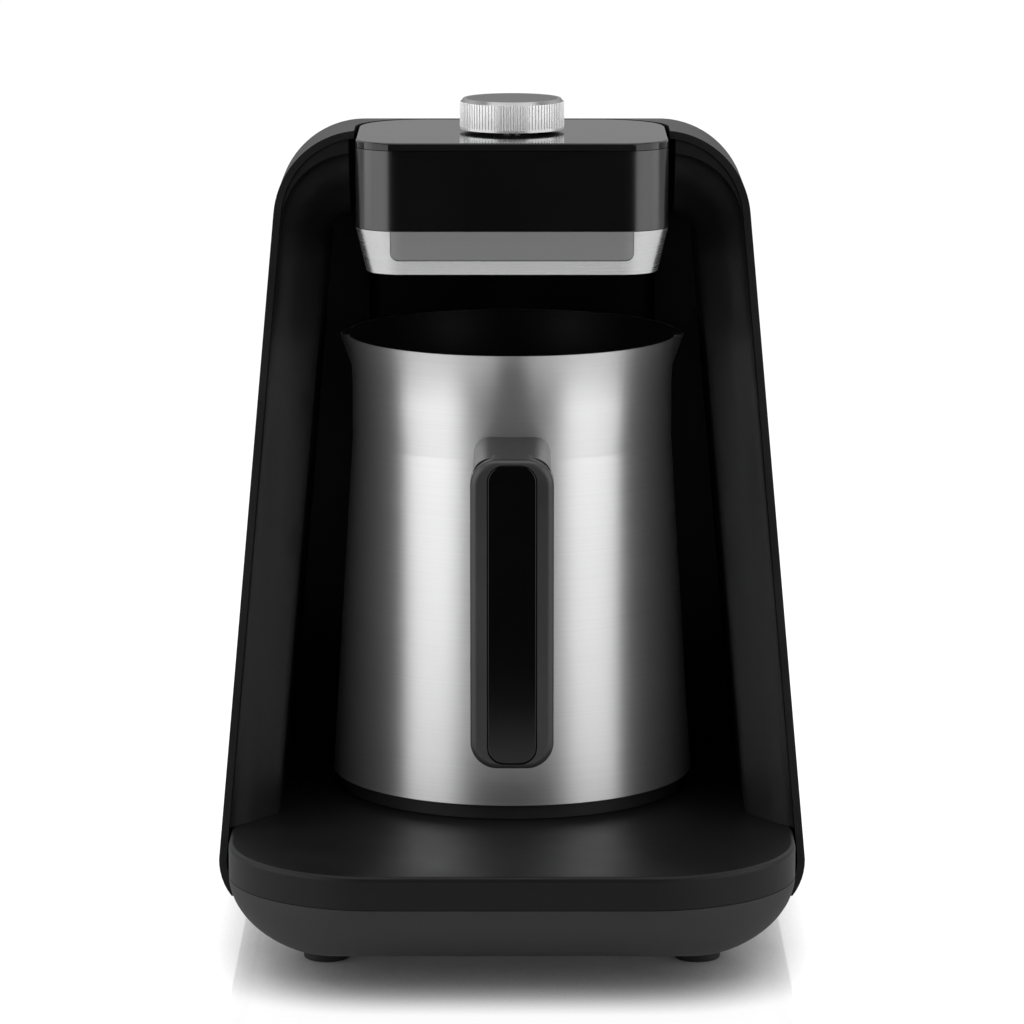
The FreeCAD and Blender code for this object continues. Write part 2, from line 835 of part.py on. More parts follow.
def make_encoder_rotor():
    """Detent wheel that the shaft turns and slides through."""
    z0 = encoder_base_z() + encoder_floor + rotor_lift
    wheel = disc(encoder_chamber_radius - 0.1, z0, z0 + rotor_height, 0, knob_y)
    notches = []
    for i in range(encoder_detents):
        angle = 2 * math.pi * i / encoder_detents
        x = encoder_chamber_radius * math.cos(angle)
        y = knob_y + encoder_chamber_radius * math.sin(angle)
        notches.append(disc(0.45, z0 - 1, z0 + rotor_height + 1, x, y))
    return wheel.cut(notches).cut(disc(shaft_radius + shaft_fit, z0 - 1, z0 + 5, 0, knob_y))


def make_encoder_shaft():
    low_z = encoder_base_z() + encoder_floor + dome_thickness + knob_press + 0.1
    return disc(shaft_radius, low_z, knob_top_z - knob_bevel + 0.2, 0, knob_y)


def make_control_board():
    z0 = control_board_z
    board = box(-control_half, control_half, control_front_y, control_back_y, z0, z0 + board_thickness)
    outline = head_block(head_wall + 1.0, z0 - 1, z0 + 5)
    board = board.common(outline)
    for x, y in control_screw_places():
        board = board.cut(screw_hole(x, y, z0 - 1, z0 + 3))
    return board


def make_processor():
    z1 = control_board_z
    chip = box(-24, -14, knob_y - 5, knob_y + 5, z1 - 1.6, z1)
    pins = []
    for i in range(8):
        y = knob_y - 4.0 + i * 1.1
        pins.append(box(-25.2, -12.8, y, y + 0.5, z1 - 0.4, z1))
    return chip.fuse(pins)


def make_buzzer():
    x, y = 18, knob_y - 18
    can = disc(6.0, control_board_z - 7.5, control_board_z, x, y)
    return can.cut(disc(1.2, control_board_z - 8, control_board_z - 5, x, y))


def make_ribbon_socket():
    low_z = control_board_z - socket_height
    half = ribbon_half + 1
    y0 = ribbon_rise_y - socket_half_depth
    y1 = ribbon_rise_y + socket_half_depth
    return box(ribbon_x - half, ribbon_x + half, y0, y1, low_z, control_board_z)


def make_sensor_lens():
    """Clear plug in the underside cover that looks down in to the jug."""
    low_z = trim_bottom_z + under_lift
    lens = disc(sensor_radius, low_z - 0.4, low_z + under_floor, 0, jug_y)
    lens = round_edges(lens, 0.35, lambda e: e.CenterOfMass.z < low_z - 0.39)
    seat_z = low_z + under_floor
    return lens.fuse(disc(sensor_radius + 1.6, seat_z, seat_z + 1.2, 0, jug_y))


def make_sensor_board():
    z0 = sensor_board_z
    board = box(-sensor_screw_x - 5, sensor_screw_x + 5, jug_y - 9, jug_y + 9, z0, z0 + board_thickness)
    for x in (-sensor_screw_x, sensor_screw_x):
        board = board.cut(screw_hole(x, jug_y, z0 - 1, z0 + 5))
    return board


def make_sensor_emitters():
    """Infrared emitter and receiver under the sensor board."""
    low_z = trim_bottom_z + under_lift + under_floor + 1.3
    return group([disc(2.0, low_z, sensor_board_z, x, jug_y) for x in (-2.6, 2.6)])


def bent_path(points, radius):
    """Straight runs joined by tangent arcs of one radius."""
    edges = []
    start = points[0]
    for i in range(1, len(points) - 1):
        here = points[i]
        back = (points[i - 1] - here).normalize()
        ahead = (points[i + 1] - here).normalize()
        half = back.getAngle(ahead) / 2
        reach = radius / math.tan(half)
        bisector = (back + ahead).normalize()
        first = here + back * reach
        middle = here + bisector * (radius / math.sin(half) - radius)
        last = here + ahead * reach
        edges.append(Part.LineSegment(start, first).toShape())
        edges.append(Part.Arc(first, middle, last).toShape())
        start = last
    edges.append(Part.LineSegment(start, points[-1]).toShape())
    return Part.Wire(edges)


def tube_along(points, bend, radius):
    path = bent_path(points, bend)
    direction = points[1] - points[0]
    section = Part.Wire(Part.makeCircle(radius, points[0], direction))
    return path.makePipeShell([section], True, False)


def ribbon_along(points, half, thickness, bend):
    """Flat cable that follows (y, z) points in the middle plane."""
    path = bent_path([V(0, y, z) for y, z in points], bend)
    (y0, z0), (y1, z1) = points[0], points[1]
    along = V(0, y1 - y0, z1 - z0).normalize()
    side = V(0, -along.z, along.y) * (thickness / 2)
    start = V(0, y0, z0)
    corners = [start + side - V(half, 0, 0), start + side + V(half, 0, 0)]
    corners += [start - side + V(half, 0, 0), start - side - V(half, 0, 0)]
    return path.makePipeShell([Part.makePolygon(corners + corners[:1])], True, False)


def make_power_board():
    z0 = power_board_z
    board = box(-power_half, power_half, power_front_y, power_back_y, z0, z0 + board_thickness)
    for x, y in power_screw_places():
        board = board.cut(screw_hole(x, y, z0 - 1, z0 + 3))
    return board


def power_top_z():
    return power_board_z + board_thickness


def make_transformer_core():
    z0 = power_top_z()
    core = box(-30, -4, power_front_y + 16, power_front_y + 34, z0, z0 + 21)
    window = box(-26, -8, power_front_y + 15, power_front_y + 35, z0 + 4, z0 + 17)
    limb = box(-20, -14, power_front_y + 16, power_front_y + 34, z0 + 3, z0 + 18)
    return core.cut(window).fuse(limb)


def make_transformer_winding():
    z0 = power_top_z()
    outer = box(-25.6, -8.4, power_front_y + 12, power_front_y + 38, z0 + 4.3, z0 + 16.7)
    outer = round_edges(outer, 2.5, lambda e: abs(e.CenterOfMass.z - z0 - 10.5) < 0.1)
    gap = box(-20.2, -13.8, power_front_y + 15.8, power_front_y + 34.2, z0 + 3, z0 + 18)
    return outer.cut(gap)


def make_relay():
    z0 = power_top_z()
    relay = box(8, 27, power_front_y + 18, power_front_y + 33, z0, z0 + 15)
    return round_edges(relay, 0.8, lambda e: abs(e.CenterOfMass.z - z0 - 7.5) < 0.1)


def make_capacitors():
    z0 = power_top_z()
    cans = [disc(5.0, z0, z0 + 16, x, power_front_y + 50) for x in (-26, -13)]
    cans = [round_edges(can, 0.6, lambda e: e.CenterOfMass.z > z0 + 15.9) for can in cans]
    film = box(5, 23, power_front_y + 45, power_front_y + 53, z0, z0 + 14)
    return group(cans + [film])


def make_fuse():
    z0 = power_top_z()
    tube = Part.makeCylinder(2.6, 20, V(8, power_front_y + 9, z0 + 4.0), V(1, 0, 0))
    caps = [box(x, x + 5, power_front_y + 6, power_front_y + 12, z0, z0 + 3) for x in (9, 22)]
    return tube.fuse(caps)


def make_triac_heatsink():
    z0 = power_top_z()
    y0 = power_front_y + 60
    sink = box(10.5, 30, y0, y0 + 2.5, z0, z0 + 21)
    fins = [box(x, x + 1.5, y0 + 1, y0 + 12, z0, z0 + 21) for x in (10.5, 16.5, 22.5, 28.5)]
    return sink.fuse(fins)


def make_triac():
    z0 = power_top_z()
    y0 = power_front_y + 60
    body = box(15, 25, y0 - 4.5, y0, z0 + 5, z0 + 20)
    legs = [box(x, x + 0.9, y0 - 2.6, y0 - 2.0, z0, z0 + 6) for x in (17.0, 19.55, 22.1)]
    return body.fuse(legs)


def make_terminal_block():
    z0 = power_top_z()
    y1 = power_back_y - 2
    block = box(-30, -12, y1 - 10, y1, z0, z0 + 11)
    holes = [disc(1.8, z0 + 5, z0 + 12, x, y1 - 4) for x in (-27, -21, -15)]
    slots = [box(x - 1.6, x + 1.6, y1 - 3, y1 + 1, z0 + 2, z0 + 5) for x in (-27, -21, -15)]
    return block.cut(holes + slots)


def tongue_half():
    return inlet_half - inlet_wall - tongue_gap


def tongue_low_z():
    return inlet_low_z + inlet_wall + tongue_gap


def tongue_high_z():
    return inlet_high_z - inlet_wall - tongue_gap


def contact_z():
    return (inlet_low_z + inlet_high_z) / 2


def contact_xs():
    return [-contact_pitch, 0.0, contact_pitch]


def sleeve_radius():
    return pin_radius + contact_fit + sleeve_wall


def make_jug_connector():
    """Tongue at the column's foot that the jug plugs on to, with its flange behind the column wall."""
    seat_y = bay_back_y - column_reach + column_wall
    low_z = inlet_low_z - flange_rise
    high_z = inlet_high_z + flange_rise
    body = box(-flange_half, flange_half, seat_y, seat_y + flange_thickness, low_z, high_z)
    half = tongue_half()
    tongue = box(-half, half, tongue_tip_y, seat_y + 1, tongue_low_z(), tongue_high_z())
    tongue = round_edges(tongue, 1.0, lambda e: abs(e.CenterOfMass.y - tongue_tip_y) < 0.01)
    body = body.fuse(tongue)
    bores = []
    for x in contact_xs():
        bores.append(rod_y(sleeve_radius(), tongue_tip_y - 1, seat_y + 10, x, contact_z()))
    return body.cut(bores)


def make_contact_sleeves():
    seat_y = bay_back_y - column_reach + column_wall
    sleeves = []
    for x in contact_xs():
        sleeve = rod_y(sleeve_radius(), tongue_tip_y + 0.8, seat_y + 6, x, contact_z())
        pin_room = rod_y(pin_radius + contact_fit, tongue_tip_y, seat_y + 3, x, contact_z())
        sleeves.append(sleeve.cut(pin_room))
    return group(sleeves)


def make_jug_leads():
    """Leads from the sleeves down to the power board."""
    seat_y = bay_back_y - column_reach + column_wall
    leads = []
    for i, x in enumerate(contact_xs()):
        start = V(x, seat_y + 6, contact_z())
        drop_y = seat_y + 15.0
        end_x = x
        points = [start, V(x, drop_y, contact_z()), V(x, drop_y, power_top_z() + 4)]
        points.append(V(end_x, power_back_y - 4, power_top_z() + 4))
        leads.append(tube_along(points, 4.0, lead_radius))
    return group(leads)


def make_lead_clamp():
    """Screw terminals on the power board for the jug's leads."""
    y1 = power_back_y - lead_clamp_inset
    z0 = power_top_z()
    return box(-lead_clamp_half, lead_clamp_half, y1 - lead_clamp_size, y1, z0, z0 + lead_clamp_size)


def make_signal_ribbon():
    """Flat cable from the power board up behind the bay and forward to the control board."""
    start_z = power_top_z() + 0.5
    rear = bay_back_y + liner_wall + ribbon_gap
    points = [(power_back_y - ribbon_start_inset, start_z), (rear, start_z), (rear, ribbon_z)]
    points += [(ribbon_rise_y, ribbon_z), (ribbon_rise_y, control_board_z - socket_height)]
    ribbon = ribbon_along(points, ribbon_half, ribbon_thickness, ribbon_bend)
    ribbon.translate(V(ribbon_x, 0, 0))
    return ribbon


def make_cord_gland():
    """Gland in the rear wall with a straight bore for a cord."""
    y1 = rear_y - gland_setback
    y0 = y1 - gland_length
    gland = rod_y(gland_radius, y0, y1, gland_x, gland_z)
    flange = rod_y(gland_flange_radius, y0 + 5, y1, gland_x, gland_z)
    flange = flange.common(housing_block(shell_wall + assembly_gap, -8.0))
    return gland.fuse(flange).cut(rod_y(gland_bore_radius, y0 - 1, y1 + 1, gland_x, gland_z))


def make_base_screws():
    head_z = base_screw_seat_z - base_screw_web - screw_head_height
    length = platform_z - base_wall - 0.5 - head_z
    return group([screw(x, y, head_z, length, True) for x, y in base_screw_places()])


def make_power_screws():
    head_z = power_top_z() + screw_head_height
    return group([screw(x, y, head_z, power_screw_length, False) for x, y in power_screw_places()])


def make_control_screws():
    head_z = control_board_z - screw_head_height
    return group([screw(x, y, head_z, 9.5, True) for x, y in control_screw_places()])


def make_sensor_screws():
    head_z = sensor_board_z + board_thickness + screw_head_height
    return group([screw(x, jug_y, head_z, 7.0, False) for x in (-sensor_screw_x, sensor_screw_x)])


def jug_radius(z):
    """Outer radius of the jug below its neck."""
    share = (z - jug_bottom_z) / (jug_waist_z - jug_bottom_z)
    return jug_foot_radius + (jug_neck_radius - jug_foot_radius) * share


def jug_outline(inset, low_z, high_z):
    """Half section of the jug as a face, each side moved in by the inset."""
    low_radius = jug_radius(low_z) - inset
    waist = V(jug_neck_radius - inset, 0, jug_waist_z)
    neck = V(jug_neck_radius - inset, 0, jug_neck_z)
    rim = V(jug_rim_radius - inset, 0, jug_rim_z)
    flare = (jug_rim_radius - jug_neck_radius) * jug_flare_share
    flare_mid = V(jug_neck_radius + flare - inset, 0, jug_neck_z + jug_flare_rise)
    edges = [
        Part.LineSegment(V(0, 0, low_z), V(low_radius, 0, low_z)),
        Part.LineSegment(V(low_radius, 0, low_z), waist),
        Part.LineSegment(waist, neck),
        Part.Arc(neck, flare_mid, rim),
    ]
    top = rim
    if high_z > jug_rim_z:
        top = V(rim.x, 0, high_z)
        edges.append(Part.LineSegment(rim, top))
    edges.append(Part.LineSegment(top, V(0, 0, top.z)))
    edges.append(Part.LineSegment(V(0, 0, top.z), V(0, 0, low_z)))
    return Part.Face(Part.Wire([edge.toShape() for edge in edges]))


def turned(face):
    body = face.revolve(V(0, 0, 0), V(0, 0, 1), 360)
    body.translate(V(0, jug_y, 0))
    return body


def spout(side, inset, top_z):
    """Pouring lip at one side of the rim: a cone that leans out through the neck."""
    low_centre = spout_low_centre
    top_centre = spout_tip - spout_top_radius
    slope = (top_centre - low_centre) / (jug_rim_z + spout_lift - spout_low_z)
    swell = (spout_top_radius - spout_low_radius) / (jug_rim_z + spout_lift - spout_low_z)
    wires = []
    for z in (spout_low_z, top_z):
        rise = z - spout_low_z
        centre = V(side * (low_centre + slope * rise), jug_y, z)
        circle = Part.makeCircle(spout_low_radius + swell * rise - inset, centre, V(0, 0, 1))
        wires.append(Part.Wire(circle))
    return Part.makeLoft(wires, True, True)


def make_jug_body():
    """Steel jug: a flared neck with a spout at each side, a raised floor and an open skirt below it."""
    body = turned(jug_outline(0.0, jug_bottom_z, jug_rim_z))
    for side in (-1, 1):
        body = body.fuse(spout(side, 0.0, jug_rim_z + spout_lift))
    hollow = turned(jug_outline(jug_wall, jug_floor_z, jug_rim_z + 5))
    for side in (-1, 1):
        hollow = hollow.fuse(spout(side, jug_wall, jug_rim_z + spout_lift + 5))
    body = body.cut(hollow).cut(rim_trimmer())
    skirt = turned(jug_outline(jug_wall, jug_bottom_z, jug_rim_z))
    skirt = skirt.common(box(-beyond, beyond, -beyond, beyond, jug_bottom_z - 1, jug_floor_z - jug_floor))
    mouth = disc(jug_foot_radius - jug_wall, jug_bottom_z - 1, jug_bottom_z + 1, 0, jug_y)
    body = body.cut(skirt).cut(mouth)
    window_low = inlet_low_z - 1.0
    half = inlet_half + assembly_gap
    return body.cut(box(-half, half, jug_y + 40, jug_y + 80, window_low, inlet_high_z + assembly_gap))


def rim_trimmer():
    """Trims the rim: it rises from front and back to the spouts, whose lips then dip outwards."""
    reach = 2 * jug_rim_radius
    high_z = jug_rim_z + 4 * spout_lift
    root_z = jug_rim_z + spout_lift
    tip_z = jug_rim_z - spout_tip_drop
    y0 = jug_y - reach
    bow = Part.Arc(V(-spout_root, y0, root_z), V(0, y0, jug_rim_z), V(spout_root, y0, root_z))
    right = Part.makePolygon([
        V(spout_root, y0, root_z), V(spout_tip, y0, tip_z), V(reach, y0, tip_z), V(reach, y0, high_z),
        V(-reach, y0, high_z), V(-reach, y0, tip_z),
        V(-spout_tip, y0, tip_z), V(-spout_root, y0, root_z),
    ])
    outline = Part.Wire([bow.toShape()] + right.Edges)
    return Part.Face(outline).extrude(V(0, 2 * reach, 0))


def make_heater_plate():
    top_z = jug_floor_z - jug_floor
    plate = disc(heater_radius, top_z - heater_thickness, top_z, 0, jug_y)
    for x, y in jug_screw_places():
        plate = plate.cut(screw_hole(x, y, top_z - heater_thickness - 1, top_z - 0.4))
    return plate


def heater_low_z():
    return jug_floor_z - jug_floor - heater_thickness


def make_heating_element():
    """Tubular element: most of a ring, with its two ends turned back to the inlet."""
    ring_z = heater_low_z() - element_radius
    ring_body = Part.makeTorus(element_ring_radius, element_radius, V(0, jug_y, ring_z))
    ring_body = ring_body.cut(box(-element_gap_half, element_gap_half, jug_y, jug_y + 60, 0, 100))
    return ring_body


def make_thermal_cutout():
    return disc(cutout_radius, heater_low_z() - cutout_height, heater_low_z(), 0, jug_y)


def jug_screw_places():
    places = []
    for degrees in (-90, 30, 150):
        angle = math.radians(degrees)
        places.append((jug_screw_ring * math.cos(angle), jug_y + jug_screw_ring * math.sin(angle)))
    return places


def make_jug_base():
    """Black base of the jug: a floor, a ring set back under the steel and a lip inside the skirt."""
    low_z = platform_z + jug_stand_gap
    skirt_inner = jug_radius(jug_cover_lip_z) - jug_wall - assembly_gap
    base = disc(jug_ring_radius, low_z, jug_bottom_z, 0, jug_y)
    base = base.fuse(disc(skirt_inner, jug_bottom_z - 0.5, jug_cover_lip_z, 0, jug_y))
    inner = jug_ring_radius - jug_cover_wall - 1
    base = base.cut(disc(inner, low_z + jug_cover_floor, jug_cover_lip_z + 1, 0, jug_y))
    half = inlet_half + assembly_gap
    base = base.cut(box(-half, half, jug_y + 40, jug_y + 80, inlet_low_z - assembly_gap, 100))
    for x, y in jug_screw_places():
        base = base.fuse(disc(boss_radius, low_z + 1, heater_low_z(), x, y))
        base = base.cut(screw_hole(x, y, low_z - 1, heater_low_z() + 1))
        base = base.cut(screw_pocket(x, y, low_z - 1, low_z + screw_head_height + 0.6))
    return base


def make_jug_inlet():
    """Shrouded inlet of the jug, open to the back."""
    y0 = jug_y + jug_foot_radius - jug_wall - inlet_depth - 1
    shroud = box(-inlet_half, inlet_half, y0, jug_y + 80, inlet_low_z, inlet_high_z)
    shroud = shroud.common(disc(jug_foot_radius - jug_wall - 0.9, 0, 100, 0, jug_y))
    inner = inlet_half - inlet_wall
    low_z = inlet_low_z + inlet_wall
    hollow = box(-inner, inner, y0 + 2.2, jug_y + 80, low_z, inlet_high_z - inlet_wall)
    shroud = shroud.cut(hollow)
    bores = [rod_y(pin_radius, y0 - 1, y0 + 3, x, contact_z()) for x in contact_xs()]
    return shroud.cut(bores)


def make_inlet_pins():
    y0 = jug_y + jug_foot_radius - jug_wall - inlet_depth - 1
    return group([rod_y(pin_radius, y0 - 2.5, tongue_tip_y + 9, x, contact_z()) for x in contact_xs()])


def make_jug_screws():
    head_z = platform_z + jug_stand_gap + 0.6
    length = jug_floor_z - jug_floor - 0.6 - head_z
    return group([screw(x, y, head_z, length, True) for x, y in jug_screw_places()])


def grip_block(half, low_z, high_z, radius, y0, y1):
    """Upright block with rounded corners in its front view."""
    corners = [V(-half, y0, low_z), V(half, y0, low_z), V(half, y0, high_z), V(-half, y0, high_z)]
    return Part.Face(rounded_wire(corners, [radius] * 4)).extrude(V(0, y1 - y0, 0))


def make_handle_frame():
    """Handle: an arm from the neck and a grip that hangs from it, with a channel for the gloss inset."""
    grip_back = handle_front_y + handle_grip_depth
    grip = grip_block(handle_half, handle_low_z, handle_top_z, handle_corner, handle_front_y, grip_back)
    grip = round_edges(grip, handle_front_edge, lambda e: abs(e.CenterOfMass.y - handle_front_y) < 0.01)
    grip = round_edges(grip, handle_back_edge, lambda e: abs(e.CenterOfMass.y - grip_back) < 0.01)
    arm_low = handle_top_z - handle_arm_height
    arm_half = handle_half - arm_step
    arm = box(-arm_half, arm_half, handle_front_y + arm_root, jug_y, arm_low, handle_top_z - 0.2)
    arm = round_edges(arm, arm_edge, lambda e: abs(abs(e.CenterOfMass.x) - arm_half) < 0.01
                      and handle_front_y + arm_root + 1 < e.CenterOfMass.y < jug_y - 1)
    handle = grip.fuse(arm).cut(jug_clearance())
    handle = handle.cut(inset_block(0.0, handle_front_y - 1, handle_front_y + inset_depth))
    pocket = box(
        -bracket_half - 0.1, bracket_half + 0.1, handle_pocket_y(), jug_y,
        bracket_low_z() - 0.1, bracket_low_z() + bracket_height + 0.1,
    )
    screw_z = bracket_low_z() + bracket_height / 2
    seat_y = handle_front_y + inset_depth + screw_head_height + 0.4
    handle = handle.cut(rod_y(screw_radius + screw_hole_fit, handle_front_y, jug_y, 0, screw_z))
    handle = handle.cut(rod_y(screw_head_radius + screw_hole_fit, handle_front_y, seat_y, 0, screw_z))
    return handle.cut(pocket)


def inset_block(gap, y0, y1):
    low_z = handle_low_z + inset_end + gap
    high_z = handle_top_z - inset_end - gap
    return grip_block(inset_half - gap, low_z, high_z, inset_corner - gap, y0, y1)


def make_handle_inset():
    inset = inset_block(inset_gap, handle_front_y + inset_recess, handle_front_y + inset_depth)
    return round_edges(inset, 0.6, lambda e: e.CenterOfMass.y < handle_front_y + inset_recess + 0.01)


def jug_clearance():
    return turned(jug_outline(-0.1, jug_bottom_z, jug_rim_z))


def make_handle_screw():
    """Long screw under the inset that draws the handle on to its bracket."""
    head_y = handle_front_y + inset_depth + 0.4
    body = screw(0, 0, 0, handle_pocket_y() + 3.5 - head_y, True)
    body.rotate(V(0, 0, 0), V(1, 0, 0), -90)
    body.translate(V(0, head_y, bracket_low_z() + bracket_height / 2))
    return body


def handle_pocket_y():
    return jug_y - jug_neck_radius - bracket_reach


def bracket_low_z():
    return handle_top_z - handle_arm_height / 2 - bracket_height / 2


def make_handle_bracket():
    """Steel bracket on the jug's neck that the handle slides on to."""
    z0 = bracket_low_z()
    z1 = z0 + bracket_height
    y0 = handle_pocket_y() + 0.2
    y1 = jug_y - jug_neck_radius + 6
    outer = box(-bracket_half, bracket_half, y0, y1, z0, z1)
    inner_half = bracket_half - bracket_thickness
    inner = box(-inner_half, inner_half, y0 + bracket_thickness, y1 + 1, z0 - 1, z1 + 1)
    bracket = outer.cut(inner).cut(turned(jug_outline(0.0, jug_bottom_z, jug_rim_z)))
    hole_z = z0 + bracket_height / 2
    hole = rod_y(screw_radius + screw_hole_fit, y0 - 1, y0 + bracket_screw_run, 0, hole_z)
    return bracket.cut(hole)


PARTS = {
    "shell_crown": make_shell_crown,
    "shell_walls": make_shell_walls,
    "rear_panel": make_rear_panel,
    "fascia": make_fascia,
    "bay_liner": make_liner,
    "platform": make_platform,
    "base_pan": make_base_pan,
    "feet": make_feet,
    "base_screws": make_base_screws,
    "head_housing": make_head_housing,
    "top_plate": make_top_plate,
    "head_trim": make_trim,
    "trim_panel": make_trim_panel,
    "head_under_cover": make_under_cover,
    "column_cover": make_column,
    "knob_skirt": make_knob_skirt,
    "knob_bezel": make_knob_bezel,
    "knob_disc": make_knob_disc,
    "knob_hub": make_knob_hub,
    "encoder_body": make_encoder_body,
    "encoder_rotor": make_encoder_rotor,
    "encoder_shaft": make_encoder_shaft,
    "switch_dome": make_switch_dome,
    "control_board": make_control_board,
    "processor": make_processor,
    "buzzer": make_buzzer,
    "ribbon_socket": make_ribbon_socket,
    "control_screws": make_control_screws,
    "sensor_lens": make_sensor_lens,
    "sensor_board": make_sensor_board,
    "sensor_emitters": make_sensor_emitters,
    "sensor_screws": make_sensor_screws,
    "power_board": make_power_board,
    "transformer_core": make_transformer_core,
    "transformer_winding": make_transformer_winding,
    "relay": make_relay,
    "capacitors": make_capacitors,
    "fuse": make_fuse,
    "triac": make_triac,
    "triac_heatsink": make_triac_heatsink,
    "terminal_block": make_terminal_block,
    "lead_clamp": make_lead_clamp,
    "power_screws": make_power_screws,
    "signal_ribbon": make_signal_ribbon,
    "cord_gland": make_cord_gland,
    "jug_connector": make_jug_connector,
    "contact_sleeves": make_contact_sleeves,
    "jug_leads": make_jug_leads,
    "jug_body": make_jug_body,
    "heater_plate": make_heater_plate,
    "heating_element": make_heating_element,
    "thermal_cutout": make_thermal_cutout,
    "jug_base": make_jug_base,
    "jug_inlet": make_jug_inlet,
    "inlet_pins": make_inlet_pins,
    "jug_screws": make_jug_screws,
    "handle_frame": make_handle_frame,
    "handle_inset": make_handle_inset,
    "handle_bracket": make_handle_bracket,
    "handle_screw": make_handle_screw,
}

os.makedirs("parts", exist_ok=True)
for name, maker in PARTS.items():
    shape = maker()
    print(name, shape.isValid(), len(shape.Solids), round(shape.Volume))
    shape.exportStep("parts/" + name + ".step")
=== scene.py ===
import json
import math
import bpy
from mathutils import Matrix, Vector

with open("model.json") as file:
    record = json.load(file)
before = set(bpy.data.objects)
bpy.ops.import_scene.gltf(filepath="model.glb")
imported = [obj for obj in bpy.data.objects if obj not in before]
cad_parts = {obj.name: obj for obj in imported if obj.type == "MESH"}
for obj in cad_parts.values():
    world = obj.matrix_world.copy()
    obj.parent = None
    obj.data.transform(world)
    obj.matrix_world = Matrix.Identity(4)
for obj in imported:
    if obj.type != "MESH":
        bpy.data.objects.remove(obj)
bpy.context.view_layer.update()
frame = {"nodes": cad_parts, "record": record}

# Upright axes in the machine's middle plane, in metres
knob_axis_y = -0.01245
jug_axis_y = 0.014

# An upward face of the jug below this height is its bottom, in metres
jug_bottom_limit_z = 0.09
upward_limit = 0.5

# A wall of the jug faces the axis where its normal times its distance from the axis is below this
inward_limit = -0.02

# Range that holds nearly all values of a noise texture
noise_low = 0.3
noise_high = 0.7

level_plane = (1.0, 1.0, 0.0)
even_scale = (1.0, 1.0, 1.0)
white = (1.0, 1.0, 1.0, 1.0)


# Small helpers that add nodes to a material

def new_material(name):
    material = bpy.data.materials.new(name)
    material.use_nodes = True
    tree = material.node_tree
    return material, tree, tree.nodes["Principled BSDF"]


def feed(tree, node, values):
    """Gives the node's first inputs their values: numbers, or outputs of other nodes."""
    for socket, value in zip(node.inputs, values):
        if isinstance(value, bpy.types.NodeSocket):
            tree.links.new(value, socket)
        else:
            socket.default_value = value


def calculate(tree, operation, *values):
    node = tree.nodes.new("ShaderNodeMath")
    node.operation = operation
    feed(tree, node, values)
    return node.outputs["Value"]


def calculate_vector(tree, operation, *values, result="Vector"):
    node = tree.nodes.new("ShaderNodeVectorMath")
    node.operation = operation
    feed(tree, node, values)
    return node.outputs[result]


def coordinates(tree, kind="Object"):
    return tree.nodes.new("ShaderNodeTexCoord").outputs[kind]


def split(tree, vector):
    node = tree.nodes.new("ShaderNodeSeparateXYZ")
    tree.links.new(vector, node.inputs["Vector"])
    return node.outputs


def place(tree, scale):
    """Coordinates in metres, stretched by scale along each axis."""
    mapping = tree.nodes.new("ShaderNodeMapping")
    mapping.inputs["Scale"].default_value = scale
    tree.links.new(coordinates(tree), mapping.inputs["Vector"])
    return mapping.outputs["Vector"]


def from_axis(tree, axis_y):
    """Level vector from an upright axis in the middle plane to the shaded point."""
    offset = calculate_vector(tree, "SUBTRACT", coordinates(tree), (0.0, axis_y, 0.0))
    return calculate_vector(tree, "MULTIPLY", offset, level_plane)


def noise(tree, vector, scale, detail=3.0, roughness=0.55):
    node = tree.nodes.new("ShaderNodeTexNoise")
    node.inputs["Scale"].default_value = scale
    node.inputs["Detail"].default_value = detail
    node.inputs["Roughness"].default_value = roughness
    tree.links.new(vector, node.inputs["Vector"])
    return node.outputs["Fac"]


def two_tone(tree, factor, low, high):
    """Takes a noise value to a colour between low and high."""
    node = tree.nodes.new("ShaderNodeValToRGB")
    stops = [(noise_low, low), (noise_high, high)]
    for element, (position, colour) in zip(node.color_ramp.elements, stops):
        element.position = position
        element.color = (*colour, 1.0)
    tree.links.new(factor, node.inputs["Fac"])
    return node.outputs["Color"]


def rescale(tree, value, from_min, from_max, to_min, to_max):
    node = tree.nodes.new("ShaderNodeMapRange")
    node.inputs["From Min"].default_value = from_min
    node.inputs["From Max"].default_value = from_max
    node.inputs["To Min"].default_value = to_min
    node.inputs["To Max"].default_value = to_max
    tree.links.new(value, node.inputs["Value"])
    return node.outputs["Result"]


def spread(tree, factor, low, high):
    """Takes a noise value to a number between low and high."""
    return rescale(tree, factor, noise_low, noise_high, low, high)


def bump(tree, height, depth, strength, below=None):
    node = tree.nodes.new("ShaderNodeBump")
    node.inputs["Strength"].default_value = strength
    node.inputs["Distance"].default_value = depth
    tree.links.new(height, node.inputs["Height"])
    if below is not None:
        tree.links.new(below, node.inputs["Normal"])
    return node.outputs["Normal"]


def mix_shaders(tree, factor, where_zero, where_one):
    node = tree.nodes.new("ShaderNodeMixShader")
    feed(tree, node, (factor, where_zero, where_one))
    return node.outputs["Shader"]


def add_shaders(tree, first, second):
    node = tree.nodes.new("ShaderNodeAddShader")
    feed(tree, node, (first, second))
    return node.outputs["Shader"]


def shade(values, amount):
    return tuple(value * amount for value in values)


# Finishes

